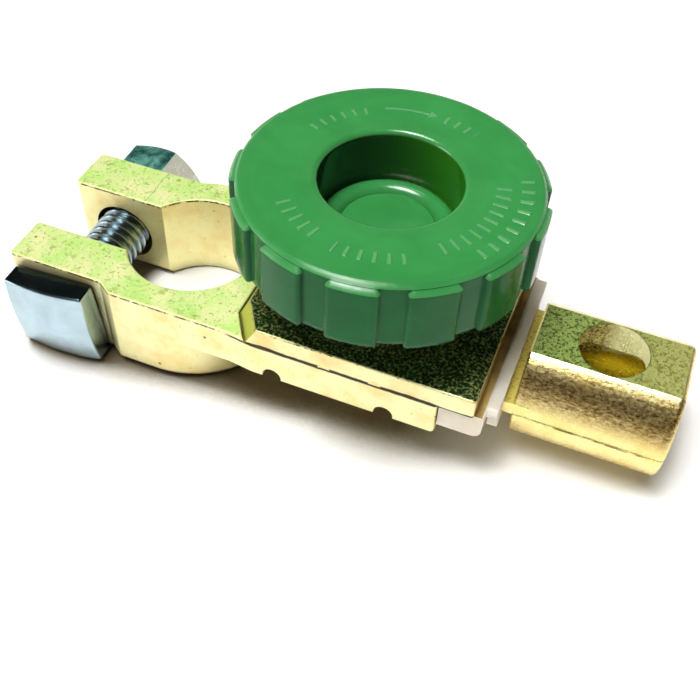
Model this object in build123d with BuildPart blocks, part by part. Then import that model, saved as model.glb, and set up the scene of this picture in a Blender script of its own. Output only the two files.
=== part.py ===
from build123d import *
import math
import os

os.makedirs("parts", exist_ok=True)

# Frame: millimetres, +Z up, z = 0 on the surface it rests on, battery post bore axis at x = y = 0,
# cable barrel towards +X, clamp ears towards -X, bolt head on the -Y side.

# Battery post ring
bore_radius = 9.5
ring_wall = 4.15
ring_height = 13.6
ring_foot_fillet = 0.9
top_edge_fillet = 0.25

# Clamp ears, a little inside the flanks of the ring, the front one with a shoulder beside the bolt head
ear_reach = 9.15
ear_gap = 10.0
ear_front_inset = 1.45
ear_back_inset = 1.05
ear_shoulder_run = 2.2
ear_back_blend = (2.0, 5.5)
ear_corner_fillet = 0.7

# Tongue of the clamp casting, a channel under the top plate
body_overhang = 0.45
body_shoulder_run = 3.4
body_start_gap = 1.95
body_short_of_plate = 4.8
body_depth = 5.4
body_end_fillet = 0.5
side_wall = 3.3
channel_start_gap = 1.55
channel_depth = 4.0
seat_step = 0.4
seat_gap = 0.08

# Top plate
plate_lap = 1.65
plate_length = 34.4
plate_thickness = 3.1
plate_left_draft = 1.5
plate_corner_run = 2.8
plate_corner_rise = 4.4
plate_end_fillet = 0.5
plate_edge_fillet = 0.3
knob_from_plate_end = 16.7

# Arched notches, locating nibs and rivets, each pair placed from the start and the end of the tongue
notch_radius = 1.35
notch_rise = 0.3
notch_web = 0.3
notch_insets = (3.0, 7.0)
nib_radius = 0.85
nib_insets = (10.5, 8.5)
rivet_radius = 1.1
rivet_head_radius = 1.5
rivet_head_height = 0.8
rivet_insets = (6.8, 3.2)
rivet_edge_distance = 1.8
rivet_depth_in_plate = 2.2

# Threaded bush for the stud, staked in the plate
thread_major = 10.0
thread_clearance = 0.06
bush_spigot_radius = 6.6
bush_flats = 16.0
bush_height = 3.0
hexagon_chamfer_deg = 30
hexagon_face_inset = 0.3

# Nylon sleeve and the tongue of the barrel casting inside it
sleeve_fit = 0.05
sleeve_end_gap = 0.4
sleeve_floor = 0.8
sleeve_window_radius = 6.4
block_gap = 0.15
block_past_plate = 1.2
block_inset = 0.4
block_fillet = 1.3
tongue_thickness = 2.0
tongue_start_gap = 1.8
tongue_side_gap = 1.9
tongue_end_gap = 0.1
tongue_corner_fillet = 3.0

# Nylon end plate
end_plate_gap = 0.05
end_plate_thickness = 1.4
end_plate_rise = 0.9
end_plate_drop = 5.6
end_plate_inset = 1.2
end_plate_wing = 1.6
end_plate_foot_inset = 3.7
end_plate_foot_fillet = 1.2

# Cable barrel
barrel_gap = 1.25
barrel_length = 19.85
barrel_radius = 8.95
barrel_axis_rise = 0.1
barrel_flat_height = 7.7
barrel_end_fillet = 0.8
barrel_near_chamfer = 0.25
barrel_flat_fillet = 0.5
barrel_hole_radius = 4.5
ridge_thickness = 0.25
ridge_proud = 0.12
cable_radius = 5.5
cable_depth = 16.0
cable_point_depth = 1.8
cable_point_deg = 60

# Knob
knob_lift = 9.8
knob_height = 9.1
knob_radius = 18.9
knob_flare = 0.05
knob_rim_chamfer = 0.4
lobe_count = 13
lobe_reach = 0.75
lobe_root = 0.5
lobe_width_deg = 18.5
lobe_phase_deg = 0.5
lobe_top_drop = 0.5
lobe_edge = 0.45
recess_radius = 8.95
recess_floor_radius = 8.75
recess_lip = 0.8
recess_depth = 7.9
bead_crest = 0.9
bead_radius = 7.65
bead_root = 0.5
bead_wall_lap = 0.2
core_inner_radius = 10.9
core_outer_radius = 16.7
core_depth = 6.3
core_draft_deg = 1.5
core_ribs = 6
core_rib_thickness = 1.4
hub_radius = 9.2
hub_drop = 2.9
hub_chamfer = 0.6
cap_radius = 6.2
cap_rise = 0.25
cap_chamfer = 0.2
turn_fit = 0.05

# Stud, standing clear of the tongue below it by its travel
stud_travel = 3.75
stud_contact_gap = 0.05
stud_point = 1.2
stud_seat_web = 1.15
stud_head_radius = 5.9
stud_head_height = 1.9
stud_head_chamfer = 0.4

# Clamp bolt and nut, slanted a little in their oversize holes
bolt_radius = 3.97
bolt_hole_clearance = 0.78
bolt_from_ear_end = 7.4
bolt_z = 6.1
bolt_tilt_deg = 2.0
bolt_past_nut = 1.1
bolt_point = 0.7
head_flats = 12.7
head_height = 4.0
head_crown = 34.0
head_slack = 0.25
head_turn_deg = 3.7
head_edge = 0.5
shoulder_clearance = 0.85
nut_flats = 12.7
nut_height = 5.6
nut_slack = 0.3
nut_turn_deg = 6.3
nut_fit = 0.05

# Widths that follow from these sizes
ring_radius = bore_radius + ring_wall
body_half_width = ring_radius + body_overhang
channel_half_width = body_half_width - side_wall
ear_front_y = ring_radius - ear_front_inset
ear_back_y = ring_radius - ear_back_inset
notch_depth = side_wall - notch_web
rivet_y = body_half_width - rivet_edge_distance
block_half_width = body_half_width - block_inset
tongue_half_width = channel_half_width - tongue_side_gap

# Places along the part
ear_end_x = -ring_radius - ear_reach
bolt_x = ear_end_x + bolt_from_ear_end
ear_shoulder_x = bolt_x + head_flats / 2 + shoulder_clearance
plate_left_x = ring_radius - plate_lap
plate_right_x = plate_left_x + plate_length
body_start_x = ring_radius + body_start_gap
body_right_x = plate_right_x - body_short_of_plate
channel_left_x = ring_radius + channel_start_gap
sleeve_left_x = channel_left_x + sleeve_end_gap
tongue_left_x = channel_left_x + tongue_start_gap
block_left_x = body_right_x + block_gap
block_right_x = plate_right_x + block_past_plate
end_plate_x = block_right_x + end_plate_gap
barrel_left_x = end_plate_x + end_plate_thickness + barrel_gap
barrel_right_x = barrel_left_x + barrel_length
barrel_hole_x = (barrel_left_x + barrel_right_x) / 2
notch_places = (body_start_x + notch_insets[0], body_right_x - notch_insets[1])
nib_places = (body_start_x + nib_insets[0], body_right_x - nib_insets[1])
rivet_rows = (body_start_x + rivet_insets[0], body_right_x - rivet_insets[1])
knob_x = plate_left_x + knob_from_plate_end
knob_axis = Axis((knob_x, 0, 0), (0, 0, 1))

# Heights
seam_z = ring_height - seat_step
body_under_z = seam_z - body_depth
channel_floor_z = seam_z - channel_depth
tongue_z = channel_floor_z + sleeve_floor
tongue_top_z = tongue_z + tongue_thickness
barrel_axis_z = tongue_z + barrel_axis_rise
plate_top_z = seam_z + plate_thickness
bush_top_z = plate_top_z + bush_height
knob_base_z = plate_top_z + knob_lift
knob_top_z = knob_base_z + knob_height
recess_floor_z = knob_top_z - recess_depth
hub_bottom_z = knob_base_z - hub_drop
stud_tip_z = tongue_top_z + stud_travel + stud_contact_gap
stud_seat_z = hub_bottom_z + stud_seat_web
stud_head_z = stud_seat_z + stud_head_height

# Slanted frame of the bolt, its z axis towards the head
head_way = Vector(0, -math.cos(math.radians(bolt_tilt_deg)), -math.sin(math.radians(bolt_tilt_deg)))
bolt_plane = Plane(origin=(bolt_x, 0, bolt_z), x_dir=(1, 0, 0), z_dir=head_way)
bolt_axis = Axis((bolt_x, 0, bolt_z), -head_way)
head_seat = ear_front_y + head_slack
nut_seat = ear_back_y + nut_slack
nut_end = nut_seat + nut_height
bolt_end = nut_end + bolt_past_nut

# Rivet centres in plan
rivet_places = [(x, side * rivet_y) for x in rivet_rows for side in (-1, 1)]

# Clamp casting: split ring with two ears and a channel-shaped tongue
with BuildPart() as clamp_casting:
    # round collar of the ring
    with BuildSketch(Plane.XY):
        Circle(ring_radius)
    extrude(amount=ring_height)
    # ears, with the outward shoulder where they run into the ring
    with BuildSketch(Plane.XY):
        with BuildLine():
            Polyline(
                (ear_end_x, -ear_front_y),
                (ear_shoulder_x, -ear_front_y),
                (ear_shoulder_x + ear_shoulder_run, -ring_radius),
                (0.0, -ring_radius),
                (0.0, ring_radius),
                (-ear_back_blend[0], ring_radius),
                (-ear_back_blend[1], ear_back_y),
                (ear_end_x, ear_back_y),
                close=True,
            )
        make_face()
    extrude(amount=ring_height)
    # tongue, starting from the flanks of the ring
    with BuildSketch(Plane.XY.offset(body_under_z)):
        with BuildLine():
            Polyline(
                (0.0, -ring_radius),
                (body_start_x - body_shoulder_run, -ring_radius),
                (body_start_x, -body_half_width),
                (body_right_x, -body_half_width),
                (body_right_x, body_half_width),
                (body_start_x, body_half_width),
                (body_start_x - body_shoulder_run, ring_radius),
                (0.0, ring_radius),
                close=True,
            )
        make_face()
    extrude(amount=ring_height - body_under_z)
    # seat of the plate, a step lower than the top of the ring
    with BuildSketch(Plane.XY.offset(seam_z)):
        with BuildLine():
            Polyline(
                (plate_left_x - seat_gap, -body_half_width + plate_corner_rise),
                (plate_left_x + plate_corner_run - seat_gap, -body_half_width),
                (body_right_x, -body_half_width),
                (body_right_x, body_half_width),
                (plate_left_x + plate_corner_run - seat_gap, body_half_width),
                (plate_left_x - seat_gap, body_half_width - plate_corner_rise),
                close=True,
            )
        make_face()
    extrude(amount=seat_step, mode=Mode.SUBTRACT)
    # bore for the battery post and the slot between the ears
    with BuildSketch(Plane.XY):
        Circle(bore_radius)
        Rectangle(-ear_end_x, ear_gap, align=(Align.MAX, Align.CENTER))
    extrude(amount=ring_height, mode=Mode.SUBTRACT)
    # bolt hole through both ears
    with BuildSketch(Plane.XZ.offset(-body_half_width)):
        with Locations((bolt_x, bolt_z)):
            Circle(bolt_radius + bolt_hole_clearance)
    extrude(amount=2 * body_half_width, mode=Mode.SUBTRACT)
    # channel in the tongue, open at the top and at the right end
    with BuildSketch(Plane.XY.offset(channel_floor_z)):
        with Locations((channel_left_x, 0)):
            Rectangle(body_right_x - channel_left_x, 2 * channel_half_width, align=(Align.MIN, Align.CENTER))
    extrude(amount=channel_depth, mode=Mode.SUBTRACT)
    # arched notches in the lower edges of both side walls
    for side_y in (body_half_width, -body_half_width + notch_depth):
        with BuildSketch(Plane.XZ.offset(-side_y)):
            for x in notch_places:
                with Locations((x, body_under_z + notch_rise)):
                    Circle(notch_radius)
                with Locations((x, body_under_z)):
                    Rectangle(2 * notch_radius, 2 * notch_rise)
        extrude(amount=notch_depth, mode=Mode.SUBTRACT)
    # half-round locating nibs on the side walls
    for side in (-1, 1):
        y_plane = body_half_width if side > 0 else -channel_half_width
        with BuildSketch(Plane.XZ.offset(-y_plane)):
            for x in nib_places:
                with Locations((x, seam_z)):
                    Circle(nib_radius)
        extrude(amount=side_wall)
    # rivet holes up through the side walls, countersunk below
    with BuildSketch(Plane.XY.offset(body_under_z)):
        with Locations(*rivet_places):
            Circle(rivet_radius)
    extrude(amount=body_depth, mode=Mode.SUBTRACT)
    with BuildSketch(Plane.XY.offset(body_under_z)):
        with Locations(*rivet_places):
            Circle(rivet_head_radius)
    extrude(amount=rivet_head_height, mode=Mode.SUBTRACT)
    # soft edges of a casting: ear ends, ear mouth and tongue end
    fillet(clamp_casting.edges().filter_by(Axis.Z).group_by(Axis.X)[0], ear_corner_fillet)
    tongue_end = clamp_casting.faces().filter_by(Axis.X).sort_by(Axis.X)[-1]
    fillet(tongue_end.edges().filter_by(Axis.Z).group_by(Axis.Y)[0], body_end_fillet)
    fillet(tongue_end.edges().filter_by(Axis.Z).group_by(Axis.Y)[-1], body_end_fillet)
    foot = clamp_casting.faces().filter_by(Axis.Z).sort_by(Axis.Z)[0].edges()
    outer_foot = foot.filter_by(lambda e: e.center().length > (bore_radius + ring_radius) / 2)
    outside_gap = outer_foot.filter_by(lambda e: abs(e.center().Y) > 0.6 * ear_gap or e.center().X > 0)
    fillet(outside_gap, ring_foot_fillet)
    top_face = clamp_casting.faces().filter_by(Axis.Z).sort_by(Axis.Z)[-1]
    fillet(top_face.edges(), top_edge_fillet)
clamp_casting.part.label = "clamp_casting"
export_step(clamp_casting.part, "parts/clamp_casting.step")

# Top plate, with a steep ramp at the ring end and the hole for the bush
with BuildPart() as top_plate:
    with BuildSketch(Plane.XY.offset(seam_z)):
        with BuildLine():
            Polyline(
                (plate_left_x, -body_half_width + plate_corner_rise),
                (plate_left_x + plate_corner_run, -body_half_width),
                (plate_right_x, -body_half_width),
                (plate_right_x, body_half_width),
                (plate_left_x + plate_corner_run, body_half_width),
                (plate_left_x, body_half_width - plate_corner_rise),
                close=True,
            )
        make_face()
    extrude(amount=plate_thickness)
    # the ramp: draft on the left end and on its two cut corners
    ramp = top_plate.faces().filter_by(lambda f: f.normal_at().X < -0.1)
    draft(ramp, Plane.XY.offset(seam_z), math.degrees(math.atan(plate_left_draft / plate_thickness)))
    right_end = top_plate.faces().sort_by(Axis.X)[-1]
    fillet(right_end.edges().filter_by(Axis.Z), plate_end_fillet)
    upper = top_plate.faces().sort_by(Axis.Z)[-1]
    fillet(upper.edges(), plate_edge_fillet)
    with BuildSketch(Plane.XY.offset(seam_z)):
        with Locations((knob_x, 0)):
            Circle(bush_spigot_radius)
    extrude(amount=plate_thickness, mode=Mode.SUBTRACT)
    # notches that drop over the locating nibs
    with BuildSketch(Plane.XZ.offset(-body_half_width)):
        for x in nib_places:
            with Locations((x, seam_z)):
                Circle(nib_radius)
    extrude(amount=2 * body_half_width, mode=Mode.SUBTRACT)
    # blind rivet holes from below
    with BuildSketch(Plane.XY.offset(seam_z)):
        with Locations(*rivet_places):
            Circle(rivet_radius)
    extrude(amount=rivet_depth_in_plate, mode=Mode.SUBTRACT)
top_plate.part.label = "top_plate"
export_step(top_plate.part, "parts/top_plate.step")

# Four rivets that hold the plate on the tongue
with BuildPart() as plate_rivets:
    with BuildSketch(Plane.XY.offset(body_under_z)):
        with Locations(*rivet_places):
            Circle(rivet_head_radius)
    extrude(amount=rivet_head_height)
    with BuildSketch(Plane.XY.offset(body_under_z)):
        with Locations(*rivet_places):
            Circle(rivet_radius)
    extrude(amount=body_depth + rivet_depth_in_plate)
plate_rivets.part.label = "plate_rivets"
export_step(plate_rivets.part, "parts/plate_rivets.step")

# Hexagonal threaded bush
with BuildPart() as stud_bush:
    with BuildSketch(Plane.XY.offset(seam_z)):
        with Locations((knob_x, 0)):
            Circle(bush_spigot_radius)
    extrude(amount=plate_thickness)
    with BuildSketch(Plane.XY.offset(plate_top_z)):
        with Locations((knob_x, 0)):
            RegularPolygon(bush_flats / 2, 6, major_radius=False)
    extrude(amount=bush_height)
    # turned chamfer on the corners of the hexagon
    bush_shoulder_z = bush_top_z - bush_flats / 2 * math.tan(math.radians(hexagon_chamfer_deg))
    with BuildSketch(Plane.XZ):
        with BuildLine():
            Polyline(
                (knob_x, seam_z),
                (knob_x + bush_flats, seam_z),
                (knob_x + bush_flats, bush_shoulder_z),
                (knob_x + bush_flats / 2 - hexagon_face_inset, bush_top_z),
                (knob_x, bush_top_z),
                close=True,
            )
        make_face()
    revolve(axis=knob_axis, mode=Mode.INTERSECT)
    with BuildSketch(Plane.XY.offset(seam_z)):
        with Locations((knob_x, 0)):
            Circle(thread_major / 2 + thread_clearance)
    extrude(amount=plate_thickness + bush_height, mode=Mode.SUBTRACT)
stud_bush.part.label = "stud_bush"
export_step(stud_bush.part, "parts/stud_bush.step")

# Nylon sleeve round the tongue of the barrel casting, with a wide block outside the channel
with BuildPart() as insulator_sleeve:
    with BuildSketch(Plane.XY.offset(channel_floor_z)):
        with Locations((sleeve_left_x, 0)):
            sleeve_width = 2 * (channel_half_width - sleeve_fit)
            Rectangle(block_left_x - sleeve_left_x, sleeve_width, align=(Align.MIN, Align.CENTER))
    extrude(amount=channel_depth)
    with BuildSketch(Plane.XZ.offset(-block_half_width)):
        with BuildLine():
            Polyline(
                (block_left_x, channel_floor_z),
                (block_left_x, seam_z),
                (block_right_x, seam_z),
                (block_right_x, channel_floor_z),
                close=True,
            )
        make_face()
        low_right = vertices().sort_by(Axis.X)[-2:].sort_by(Axis.Y)[0]
        fillet(low_right, block_fillet)
    extrude(amount=2 * block_half_width)
    # socket for the metal tongue, open towards the barrel
    with BuildSketch(Plane.YZ.offset(tongue_left_x - tongue_end_gap)):
        with Locations((0, tongue_z)):
            Rectangle(2 * (tongue_half_width + sleeve_fit), tongue_thickness, align=(Align.CENTER, Align.MIN))
    extrude(amount=block_right_x - tongue_left_x + tongue_end_gap, mode=Mode.SUBTRACT)
    # window for the stud
    with BuildSketch(Plane.XY.offset(tongue_top_z)):
        with Locations((knob_x, 0)):
            Circle(sleeve_window_radius)
    extrude(amount=seam_z - tongue_top_z, mode=Mode.SUBTRACT)
insulator_sleeve.part.label = "insulator_sleeve"
export_step(insulator_sleeve.part, "parts/insulator_sleeve.step")

# Nylon end plate between the plate pack and the barrel, with wide rounded wings at the top
with BuildPart() as insulator_end_plate:
    with BuildSketch(Plane.YZ.offset(end_plate_x)):
        with Locations((0, seam_z + end_plate_rise - end_plate_wing / 2)):
            RectangleRounded(2 * (body_half_width - end_plate_inset), end_plate_wing, 0.45 * end_plate_wing)
        with Locations((0, seam_z - end_plate_drop / 2)):
            RectangleRounded(
                2 * (body_half_width - end_plate_foot_inset),
                end_plate_drop,
                end_plate_foot_fillet,
            )
        with Locations((0, tongue_z + tongue_thickness / 2)):
            Rectangle(
                2 * (tongue_half_width + sleeve_fit),
                tongue_thickness + 2 * sleeve_fit,
                mode=Mode.SUBTRACT,
            )
    extrude(amount=end_plate_thickness)
insulator_end_plate.part.label = "insulator_end_plate"
export_step(insulator_end_plate.part, "parts/insulator_end_plate.step")

# Barrel casting: flat tongue, flat-topped barrel, cable socket and solder hole
with BuildPart() as barrel_casting:
    with BuildSketch(Plane.YZ.offset(barrel_left_x)):
        with Locations((0, barrel_axis_z)):
            Circle(barrel_radius)
        with Locations((0, barrel_axis_z + barrel_flat_height)):
            Rectangle(2 * barrel_radius, barrel_radius, align=(Align.CENTER, Align.MIN), mode=Mode.SUBTRACT)
    extrude(amount=barrel_length)
    # softened edges of the flat, rounded far end and a small edge break at the near end
    flat = barrel_casting.faces().sort_by(Axis.Z)[-1]
    fillet(flat.edges().filter_by(Axis.X), barrel_flat_fillet)
    far_end = barrel_casting.faces().sort_by(Axis.X)[-1]
    fillet(far_end.edges(), barrel_end_fillet)
    near_end = barrel_casting.faces().sort_by(Axis.X)[0]
    chamfer(near_end.edges(), barrel_near_chamfer)
    # tongue with a rounded inner end
    with BuildSketch(Plane.XY.offset(tongue_z)):
        with BuildLine():
            Polyline(
                (barrel_left_x + tongue_thickness, -tongue_half_width),
                (tongue_left_x, -tongue_half_width),
                (tongue_left_x, tongue_half_width),
                (barrel_left_x + tongue_thickness, tongue_half_width),
                close=True,
            )
        make_face()
        fillet(vertices().group_by(Axis.X)[0], tongue_corner_fillet)
    extrude(amount=tongue_thickness)
    # parting ridge of the casting along both sides of the barrel
    with BuildSketch(Plane.XY.offset(barrel_axis_z - ridge_thickness / 2)):
        with Locations(((barrel_left_x + barrel_right_x) / 2, 0)):
            Rectangle(barrel_length - 2 * barrel_end_fillet, 2 * (barrel_radius + ridge_proud))
    extrude(amount=ridge_thickness)
    # cable socket with a drill point
    with BuildSketch(Plane.YZ.offset(barrel_right_x)):
        with Locations((0, barrel_axis_z)):
            Circle(cable_radius)
    extrude(amount=-cable_depth, mode=Mode.SUBTRACT)
    with BuildSketch(Plane.YZ.offset(barrel_right_x - cable_depth)):
        with Locations((0, barrel_axis_z)):
            Circle(cable_radius)
    extrude(amount=-cable_point_depth, taper=cable_point_deg, mode=Mode.SUBTRACT)
    # hole in the flat, down into the cable socket
    with BuildSketch(Plane.XY.offset(barrel_axis_z)):
        with Locations((barrel_hole_x, 0)):
            Circle(barrel_hole_radius)
    extrude(amount=barrel_radius, mode=Mode.SUBTRACT)
barrel_casting.part.label = "barrel_casting"
export_step(barrel_casting.part, "parts/barrel_casting.step")

# Stud: shank with a round head that the knob is moulded over
with BuildPart() as knob_stud:
    with BuildSketch(Plane.XZ):
        with BuildLine():
            Polyline(
                (knob_x, stud_tip_z),
                (knob_x + thread_major / 2 - stud_point, stud_tip_z),
                (knob_x + thread_major / 2, stud_tip_z + stud_point),
                (knob_x + thread_major / 2, stud_seat_z),
                (knob_x + stud_head_radius, stud_seat_z),
                (knob_x + stud_head_radius, stud_head_z - stud_head_chamfer),
                (knob_x + stud_head_radius - stud_head_chamfer, stud_head_z),
                (knob_x, stud_head_z),
                close=True,
            )
        make_face()
    revolve(axis=knob_axis)
knob_stud.part.label = "knob_stud"
export_step(knob_stud.part, "parts/knob_stud.step")

# One grip lobe of the knob: a pad on the cylinder with softened sides and a softened top end
with BuildPart() as grip_lobe:
    with BuildSketch(Plane.XY.offset(knob_base_z)):
        Circle(knob_radius + lobe_reach)
        Circle(knob_radius - lobe_root, mode=Mode.SUBTRACT)
        side_y = 2 * knob_radius * math.tan(math.radians(lobe_width_deg / 2))
        wedge = ((0, 0), (2 * knob_radius, side_y), (2 * knob_radius, -side_y))
        Polygon(*wedge, align=None, mode=Mode.INTERSECT)
        fillet(vertices().sort_by(Axis.X)[-2:], lobe_edge)
    extrude(amount=knob_height - lobe_top_drop)
    upper = grip_lobe.faces().sort_by(Axis.Z)[-1]
    chamfer(upper.edges().sort_by(Axis.X)[-3:], lobe_edge)

# Knob body: grip ring with lobes, dished top with a round bead on its floor, cored underside
with BuildPart() as knob_body:
    with BuildSketch(Plane.XZ):
        with BuildLine():
            Polyline(
                (knob_x, hub_bottom_z),
                (knob_x + hub_radius - hub_chamfer, hub_bottom_z),
                (knob_x + hub_radius, hub_bottom_z + hub_chamfer),
                (knob_x + hub_radius, knob_base_z),
                (knob_x + knob_radius + knob_flare, knob_base_z),
                (knob_x + knob_radius, knob_top_z - knob_rim_chamfer),
                (knob_x + knob_radius - knob_rim_chamfer, knob_top_z),
                (knob_x + recess_radius, knob_top_z),
                (knob_x + recess_floor_radius, recess_floor_z),
                (knob_x, recess_floor_z),
                close=True,
            )
        make_face()
    revolve(axis=knob_axis)
    lip = knob_body.edges().filter_by(GeomType.CIRCLE).group_by(Axis.Z)[-1].sort_by(SortBy.RADIUS)[0]
    fillet(lip, recess_lip)
    # bead round the floor of the dish
    bead_outer_x = knob_x + recess_floor_radius + bead_wall_lap
    with BuildSketch(Plane.XZ):
        with BuildLine():
            ThreePointArc(
                (knob_x + cap_radius, recess_floor_z),
                (knob_x + bead_radius, recess_floor_z + bead_crest),
                (bead_outer_x, recess_floor_z),
            )
            Polyline(
                (bead_outer_x, recess_floor_z),
                (bead_outer_x, recess_floor_z - bead_root),
                (knob_x + cap_radius, recess_floor_z - bead_root),
                (knob_x + cap_radius, recess_floor_z),
            )
        make_face()
    revolve(axis=knob_axis)
    # grip lobes
    with Locations((knob_x, 0, 0)):
        with PolarLocations(0, lobe_count, start_angle=lobe_phase_deg):
            add(grip_lobe.part)
    # cored underside between hub and grip ring, with radial ribs left standing
    with BuildSketch(Plane.XY.offset(knob_base_z)):
        with Locations((knob_x, 0)):
            Circle(core_outer_radius)
            Circle(core_inner_radius, mode=Mode.SUBTRACT)
            with PolarLocations(0, core_ribs // 2, angular_range=180):
                Rectangle(2 * knob_radius, core_rib_thickness, mode=Mode.SUBTRACT)
    extrude(amount=core_depth, taper=core_draft_deg, mode=Mode.SUBTRACT)
    # bore for the shank, pocket for its head and counterbore for the cap
    with BuildSketch(Plane.XY.offset(hub_bottom_z)):
        with Locations((knob_x, 0)):
            Circle(thread_major / 2 + turn_fit)
    extrude(amount=knob_height, mode=Mode.SUBTRACT)
    with BuildSketch(Plane.XY.offset(stud_seat_z - turn_fit)):
        with Locations((knob_x, 0)):
            Circle(stud_head_radius + turn_fit)
    extrude(amount=knob_height, mode=Mode.SUBTRACT)
    with BuildSketch(Plane.XY.offset(stud_head_z)):
        with Locations((knob_x, 0)):
            Circle(cap_radius)
    extrude(amount=knob_height, mode=Mode.SUBTRACT)
knob_body.part.label = "knob_body"
export_step(knob_body.part, "parts/knob_body.step")

# Cap that closes the pocket over the head of the stud
with BuildPart() as knob_cap:
    with BuildSketch(Plane.XY.offset(stud_head_z)):
        with Locations((knob_x, 0)):
            Circle(cap_radius)
    extrude(amount=recess_floor_z + cap_rise - stud_head_z)
    chamfer(knob_cap.edges().group_by(Axis.Z)[-1], cap_chamfer)
knob_cap.part.label = "knob_cap"
export_step(knob_cap.part, "parts/knob_cap.step")

# Clamp bolt: square head with a crowned face, held from turning by the shoulder of the ring
with BuildPart() as clamp_bolt:
    with BuildSketch(bolt_plane.offset(head_seat)):
        Rectangle(head_flats, head_flats, rotation=head_turn_deg)
        fillet(vertices(), head_edge)
    extrude(amount=head_height)
    with Locations(bolt_plane.offset(head_seat + head_height - head_crown)):
        Sphere(head_crown, mode=Mode.INTERSECT)
    crown = clamp_bolt.faces().filter_by(GeomType.SPHERE)[0]
    fillet(crown.edges(), 0.9 * head_edge)
    with BuildSketch(bolt_plane.offset(head_seat)):
        Circle(bolt_radius)
    extrude(amount=-head_seat - bolt_end)
    chamfer(clamp_bolt.edges().group_by(Axis.Y)[-1], bolt_point)
clamp_bolt.part.label = "clamp_bolt"
export_step(clamp_bolt.part, "parts/clamp_bolt.step")

# Clamp nut, chamfered on its outer side
with BuildPart() as clamp_nut:
    with BuildSketch(bolt_plane.offset(-nut_seat)):
        RegularPolygon(nut_flats / 2, 6, major_radius=False, rotation=nut_turn_deg)
    extrude(amount=-nut_height)
    nut_shoulder = nut_end - nut_flats / 2 * math.tan(math.radians(hexagon_chamfer_deg))
    with BuildSketch(Plane(origin=(bolt_x, 0, bolt_z), x_dir=(1, 0, 0), z_dir=bolt_plane.y_dir)):
        with BuildLine():
            Polyline(
                (0, nut_seat),
                (nut_flats, nut_seat),
                (nut_flats, nut_shoulder),
                (nut_flats / 2 - hexagon_face_inset, nut_end),
                (0, nut_end),
                close=True,
            )
        make_face()
    revolve(axis=bolt_axis, mode=Mode.INTERSECT)
    with BuildSketch(bolt_plane.offset(-nut_seat)):
        Circle(bolt_radius + nut_fit)
    extrude(amount=-nut_height, mode=Mode.SUBTRACT)
clamp_nut.part.label = "clamp_nut"
export_step(clamp_nut.part, "parts/clamp_nut.step")
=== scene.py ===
import math

import bmesh
import bpy
from mathutils import Matrix, Vector


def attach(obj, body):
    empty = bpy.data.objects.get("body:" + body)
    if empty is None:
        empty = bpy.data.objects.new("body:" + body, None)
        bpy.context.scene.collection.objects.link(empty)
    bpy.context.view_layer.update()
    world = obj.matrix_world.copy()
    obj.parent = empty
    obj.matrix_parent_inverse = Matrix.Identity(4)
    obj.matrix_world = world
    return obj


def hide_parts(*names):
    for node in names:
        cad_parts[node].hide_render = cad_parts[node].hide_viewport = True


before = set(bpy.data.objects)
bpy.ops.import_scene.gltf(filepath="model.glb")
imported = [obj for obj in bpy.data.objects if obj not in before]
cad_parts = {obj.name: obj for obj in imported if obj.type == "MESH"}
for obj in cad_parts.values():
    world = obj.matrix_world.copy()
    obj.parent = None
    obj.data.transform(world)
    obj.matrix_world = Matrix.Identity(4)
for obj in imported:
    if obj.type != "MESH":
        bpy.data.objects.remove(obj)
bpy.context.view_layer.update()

MM = 0.001

# Camera, matched to the photograph
CAMERA_PLACE = Vector((55.59, -88.44, 108.55)) * MM
CAMERA_AZIMUTH = math.radians(19.27)
CAMERA_ELEVATION = math.radians(48.81)
CAMERA_ROLL = math.radians(3.245)
CAMERA_FOCAL_PX = 962.7
IMAGE_PX = 700
SENSOR_MM = 36.0
CLIP_START = 0.005
CLIP_END = 20.0

# Table under the part: a tilted plane just under the ring, the bolt head and the barrel.
# It is darkened beside the part by a painted contact shadow, where the surroundings closer than the reach
# leave little open.
FLOOR_SIZE = 6.0
FLOOR_DROP = 0.39 * MM
FLOOR_SLOPE_X = 0.0219
FLOOR_SLOPE_Y = 0.0203
FLOOR_HOLLOW_SAMPLES = 16
PAPER_LIGHT = (0.98, 0.98, 0.98)
PAPER_DARK = (0.96, 0.96, 0.96)
CONTACT_REACH = 14.0
CONTACT_OPENNESS = (0.71, 0.50)
CONTACT_PAINTED_SHADOW = (0.13, 0.10, 0.06)
CONTACT_FADE_X = (36.0, 48.0)
CONTACT_SHARE_RIGHT = 0.25
CONTACT_SHARE_IN_BORE = 0.25

# Studio: warm walls that darken with height, a softbox nearly overhead that leans to the front left,
# a dim strip low on the left, and a white backdrop that fades out above the horizon.
# The stops of softbox and strip go by the cosine of the angle from their middle.
STUDIO_STRENGTH = 14.8
WALL_STOPS = (
    (0.00, (0.066, 0.058, 0.043)),
    (0.30, (0.009, 0.008, 0.006)),
    (1.00, (0.003, 0.003, 0.003)),
)
SOFTBOX_WAY = (-0.19, -0.17, 0.967)
SOFTBOX_STOPS = ((0.950, (0.0, 0.0, 0.0)), (0.985, (1.0, 1.0, 1.0)))
STRIP_WAY = (-0.84, -0.47, 0.27)
STRIP_STOPS = ((0.970, (0.0, 0.0, 0.0)), (0.988, (0.3, 0.3, 0.3)))
BACKDROP_WHITE = 1.0
BACKDROP_RISE = (0.02, 0.15)
KEY_WAY = (-0.17, -0.15, 0.974)
KEY_STRENGTH = 0.6
KEY_ANGLE_DEG = 8

# Clamp bolt: inch bolt with 18 threads to the inch, a little slanted in its hole
BOLT_PLACE = Vector((-15.4, 0.0, 6.1)) * MM
BOLT_TILT = math.radians(2.0)
BOLT_WAY = Vector((0, math.cos(BOLT_TILT), math.sin(BOLT_TILT)))
BOLT_RADIUS = 3.97 * MM
BOLT_PITCH = 1.411 * MM
BOLT_THREAD_DEPTH = 0.72 * MM
BOLT_SEAT = 12.45 * MM
BOLT_END = 19.6 * MM

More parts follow.
